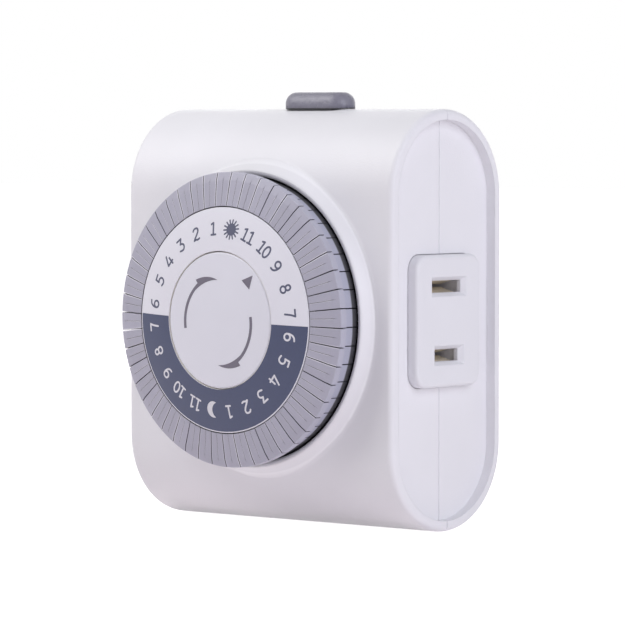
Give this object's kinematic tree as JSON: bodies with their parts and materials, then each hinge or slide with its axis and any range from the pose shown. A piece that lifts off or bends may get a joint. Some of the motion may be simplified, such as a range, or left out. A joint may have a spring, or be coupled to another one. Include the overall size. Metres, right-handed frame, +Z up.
{
  "type": "mechanical plug-in timer",
  "caption": "Wall plug-in mechanical day timer: pill-sided white case, push-pin dial with a printed 24-hour disc, override slider on top and a two-blade outlet in each side.",
  "frame": {"origin": "centre of the flat back face that lies against the wall", "axes": "+X to the right facing the dial, +Y back into the wall, +Z up"},
  "size_m": [0.0664, 0.0597, 0.0814],
  "materials": {
    "white_housing": "fine matte moulded",
    "white_outlet": "smooth satin moulded",
    "white_cap": "smooth satin moulded, grey print",
    "dial_print": "satin, printed day half and slate night half",
    "grey_tripper": "satin moulded",
    "grey_slider": "satin moulded",
    "dark_carrier": "moulded, hidden",
    "natural_acetal": "machined acetal",
    "nickel_contact": "nickel-plated, dull",
    "nickel_blade": "plated, bright",
    "brass_strip": "stamped",
    "spring_bronze": "rolled",
    "silver_contact": "dull silver",
    "steel": "zinc plated",
    "steel_plate": "drawn sheet",
    "copper_coil": "enamelled wire"
  },
  "bodies": {
    "housing": {"front_housing": "white_housing", "rear_housing": "white_housing", "centre_cap": "white_cap", "right_outlet_face": "white_outlet", "left_outlet_face": "white_outlet", "right_neutral_clip": "nickel_contact", "left_neutral_clip": "nickel_contact", "right_hot_clip": "nickel_contact", "left_hot_clip": "nickel_contact", "neutral_plug_blade": "nickel_blade", "hot_plug_blade": "nickel_blade", "neutral_bus": "brass_strip", "switched_bus": "brass_strip", "line_terminal": "brass_strip", "leaf_rivet": "brass_strip", "fixed_contact": "silver_contact", "lever_axle": "steel", "gear_axles": "steel", "gear_plate": "steel_plate", "motor_cover": "steel_plate", "motor_can": "steel_plate", "motor_bobbin": "dark_carrier", "motor_coil": "copper_coil", "housing_screws": "steel", "plate_screws": "steel", "motor_screws": "steel"},
    "dial": {"dial_carrier": "dark_carrier", "number_disc": "dial_print"},
    "override": {"override_slider": "grey_slider"},
    "lever": {"switch_lever": "natural_acetal"},
    "contact_leaf": {"moving_leaf": "spring_bronze", "moving_contact": "silver_contact"},
    "second_gear": {"second_gear": "natural_acetal"},
    "first_gear": {"first_gear": "natural_acetal"},
    "motor_pinion": {"motor_pinion": "steel"},
    "trippers_hour_01": {"trippers_hour_01": "grey_tripper"},
    "trippers_hour_02": {"trippers_hour_02": "grey_tripper"},
    "trippers_hour_03": {"trippers_hour_03": "grey_tripper"},
    "trippers_hour_04": {"trippers_hour_04": "grey_tripper"},
    "trippers_hour_05": {"trippers_hour_05": "grey_tripper"},
    "trippers_hour_06": {"trippers_hour_06": "grey_tripper"},
    "trippers_hour_07": {"trippers_hour_07": "grey_tripper"},
    "trippers_hour_08": {"trippers_hour_08": "grey_tripper"},
    "trippers_hour_09": {"trippers_hour_09": "grey_tripper"},
    "trippers_hour_10": {"trippers_hour_10": "grey_tripper"},
    "trippers_hour_11": {"trippers_hour_11": "grey_tripper"},
    "trippers_hour_12": {"trippers_hour_12": "grey_tripper"},
    "trippers_hour_13": {"trippers_hour_13": "grey_tripper"},
    "trippers_hour_14": {"trippers_hour_14": "grey_tripper"},
    "trippers_hour_15": {"trippers_hour_15": "grey_tripper"},
    "trippers_hour_16": {"trippers_hour_16": "grey_tripper"},
    "trippers_hour_17": {"trippers_hour_17": "grey_tripper"},
    "trippers_hour_18": {"trippers_hour_18": "grey_tripper"},
    "trippers_hour_19": {"trippers_hour_19": "grey_tripper"},
    "trippers_hour_20": {"trippers_hour_20": "grey_tripper"},
    "trippers_hour_21": {"trippers_hour_21": "grey_tripper"},
    "trippers_hour_22": {"trippers_hour_22": "grey_tripper"},
    "trippers_hour_23": {"trippers_hour_23": "grey_tripper"},
    "trippers_hour_24": {"trippers_hour_24": "grey_tripper"}
  },
  "joints": [
    {"name": "dial_turn", "type": "hinge", "parent": "housing", "child": "dial", "pos_m": [0, -0.035, 0], "axis": [0, 1, 0], "continuous": true},
    {"name": "override_slide", "type": "slide", "parent": "housing", "child": "override", "axis": [1, 0, 0], "range_m": [-0.0038, 0]},
    {"name": "lever_rock", "type": "hinge", "parent": "housing", "child": "lever", "pos_m": [0.00063, -0.0195, 0.0298], "axis": [1, 0, 0], "range_deg": [0, 9.9]},
    {"name": "leaf_flex", "type": "hinge", "parent": "housing", "child": "contact_leaf", "pos_m": [0.00063, -0.014, 0.008], "axis": [1, 0, 0], "range_deg": [-2.85, 0]},
    {"name": "second_gear_spin", "type": "hinge", "parent": "housing", "child": "second_gear", "pos_m": [-0.01152, -0.02, -0.00704], "axis": [0, 1, 0], "continuous": true},
    {"name": "first_gear_spin", "type": "hinge", "parent": "housing", "child": "first_gear", "pos_m": [-0.0059, -0.02, -0.0203], "axis": [0, 1, 0], "continuous": true},
    {"name": "motor_pinion_spin", "type": "hinge", "parent": "housing", "child": "motor_pinion", "pos_m": [0.009, -0.02, -0.0186], "axis": [0, 1, 0], "continuous": true},
    {"name": "push_hour_01", "type": "slide", "parent": "dial", "child": "trippers_hour_01", "axis": [0, 1, 0], "range_m": [0, 0.003]},
    {"name": "push_hour_02", "type": "slide", "parent": "dial", "child": "trippers_hour_02", "axis": [0, 1, 0], "range_m": [0, 0.003]},
    {"name": "push_hour_03", "type": "slide", "parent": "dial", "child": "trippers_hour_03", "axis": [0, 1, 0], "range_m": [0, 0.003]},
    {"name": "push_hour_04", "type": "slide", "parent": "dial", "child": "trippers_hour_04", "axis": [0, 1, 0], "range_m": [0, 0.003]},
    {"name": "push_hour_05", "type": "slide", "parent": "dial", "child": "trippers_hour_05", "axis": [0, 1, 0], "range_m": [0, 0.003]},
    {"name": "push_hour_06", "type": "slide", "parent": "dial", "child": "trippers_hour_06", "axis": [0, 1, 0], "range_m": [0, 0.003]},
    {"name": "push_hour_07", "type": "slide", "parent": "dial", "child": "trippers_hour_07", "axis": [0, 1, 0], "range_m": [0, 0.003]},
    {"name": "push_hour_08", "type": "slide", "parent": "dial", "child": "trippers_hour_08", "axis": [0, 1, 0], "range_m": [0, 0.003]},
    {"name": "push_hour_09", "type": "slide", "parent": "dial", "child": "trippers_hour_09", "axis": [0, 1, 0], "range_m": [0, 0.003]},
    {"name": "push_hour_10", "type": "slide", "parent": "dial", "child": "trippers_hour_10", "axis": [0, 1, 0], "range_m": [0, 0.003]},
    {"name": "push_hour_11", "type": "slide", "parent": "dial", "child": "trippers_hour_11", "axis": [0, 1, 0], "range_m": [0, 0.003]},
    {"name": "push_hour_12", "type": "slide", "parent": "dial", "child": "trippers_hour_12", "axis": [0, 1, 0], "range_m": [0, 0.003]},
    {"name": "push_hour_13", "type": "slide", "parent": "dial", "child": "trippers_hour_13", "axis": [0, 1, 0], "range_m": [0, 0.003]},
    {"name": "push_hour_14", "type": "slide", "parent": "dial", "child": "trippers_hour_14", "axis": [0, 1, 0], "range_m": [0, 0.003]},
    {"name": "push_hour_15", "type": "slide", "parent": "dial", "child": "trippers_hour_15", "axis": [0, 1, 0], "range_m": [0, 0.003]},
    {"name": "push_hour_16", "type": "slide", "parent": "dial", "child": "trippers_hour_16", "axis": [0, 1, 0], "range_m": [0, 0.003]},
    {"name": "push_hour_17", "type": "slide", "parent": "dial", "child": "trippers_hour_17", "axis": [0, 1, 0], "range_m": [0, 0.003]},
    {"name": "push_hour_18", "type": "slide", "parent": "dial", "child": "trippers_hour_18", "axis": [0, 1, 0], "range_m": [0, 0.003]},
    {"name": "push_hour_19", "type": "slide", "parent": "dial", "child": "trippers_hour_19", "axis": [0, 1, 0], "range_m": [0, 0.003]},
    {"name": "push_hour_20", "type": "slide", "parent": "dial", "child": "trippers_hour_20", "axis": [0, 1, 0], "range_m": [0, 0.003]},
    {"name": "push_hour_21", "type": "slide", "parent": "dial", "child": "trippers_hour_21", "axis": [0, 1, 0], "range_m": [0, 0.003]},
    {"name": "push_hour_22", "type": "slide", "parent": "dial", "child": "trippers_hour_22", "axis": [0, 1, 0], "range_m": [0, 0.003]},
    {"name": "push_hour_23", "type": "slide", "parent": "dial", "child": "trippers_hour_23", "axis": [0, 1, 0], "range_m": [0, 0.003]},
    {"name": "push_hour_24", "type": "slide", "parent": "dial", "child": "trippers_hour_24", "axis": [0, 1, 0], "range_m": [0, 0.003]}
  ],
  "couplings": [
    {"joint": "lever_rock", "follows": "override_slide", "rad_per_m": -45.245},
    {"joint": "leaf_flex", "follows": "override_slide", "rad_per_m": 12.874},
    {"joint": "second_gear_spin", "follows": "dial_turn", "ratio": 4},
    {"joint": "first_gear_spin", "follows": "dial_turn", "ratio": -12},
    {"joint": "motor_pinion_spin", "follows": "dial_turn", "ratio": 48}
  ]
}
